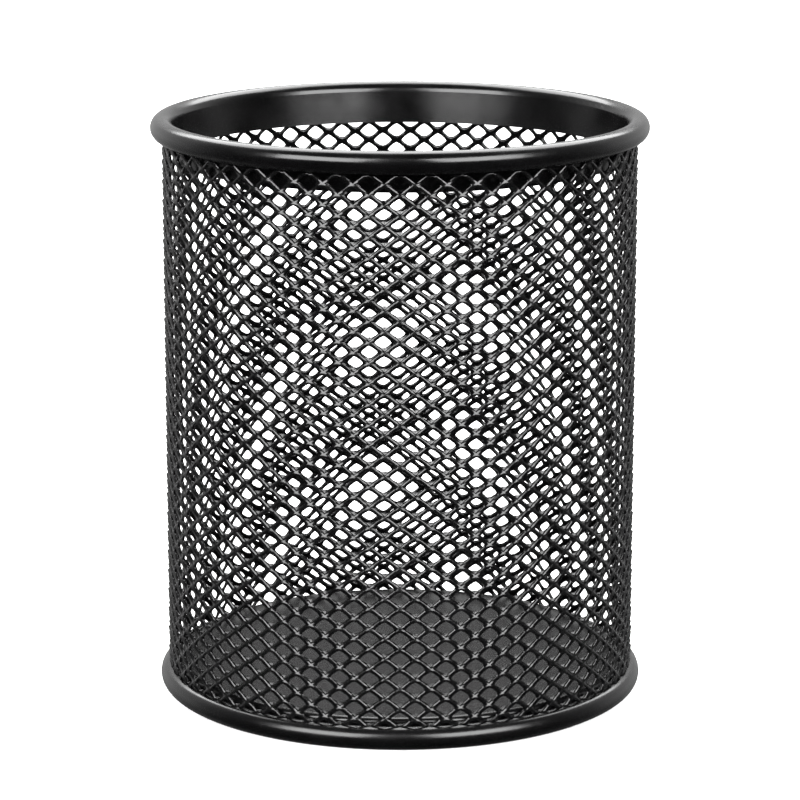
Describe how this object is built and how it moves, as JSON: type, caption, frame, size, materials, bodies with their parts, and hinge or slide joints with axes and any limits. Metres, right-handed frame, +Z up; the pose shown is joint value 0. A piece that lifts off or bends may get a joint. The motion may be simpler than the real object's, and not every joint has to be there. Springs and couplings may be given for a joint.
{
  "type": "pen holder cup",
  "caption": "Round open-topped desk cup of black expanded-metal mesh with a rolled steel rim and a stamped steel base, for standing pens in.",
  "frame": {"origin": "centre of the cup on the surface that it stands on", "axes": "+Z up along the cup's axis; the mesh's lap seam is on the +X side, turned 9 degrees towards +Y, so -Y is a seamless front"},
  "size_m": [0.085, 0.085, 0.1],
  "materials": {
    "rim_coat": "satin",
    "mesh_coat": "satin",
    "base_coat": "satin"
  },
  "bodies": {
    "root": {"rim_band": "rim_coat", "mesh_wall": "mesh_coat", "base_pan": "base_coat", "rim_weld_1": "mesh_coat", "rim_weld_2": "mesh_coat", "rim_weld_3": "mesh_coat", "rim_weld_4": "mesh_coat", "rim_weld_5": "mesh_coat", "rim_weld_6": "mesh_coat", "rim_weld_7": "mesh_coat", "rim_weld_8": "mesh_coat", "base_weld_1": "mesh_coat", "base_weld_2": "mesh_coat", "base_weld_3": "mesh_coat", "base_weld_4": "mesh_coat", "base_weld_5": "mesh_coat", "base_weld_6": "mesh_coat", "base_weld_7": "mesh_coat", "base_weld_8": "mesh_coat", "seam_weld_1": "mesh_coat", "seam_weld_2": "mesh_coat", "seam_weld_3": "mesh_coat", "seam_weld_4": "mesh_coat", "seam_weld_5": "mesh_coat"}
  },
  "joints": []
}
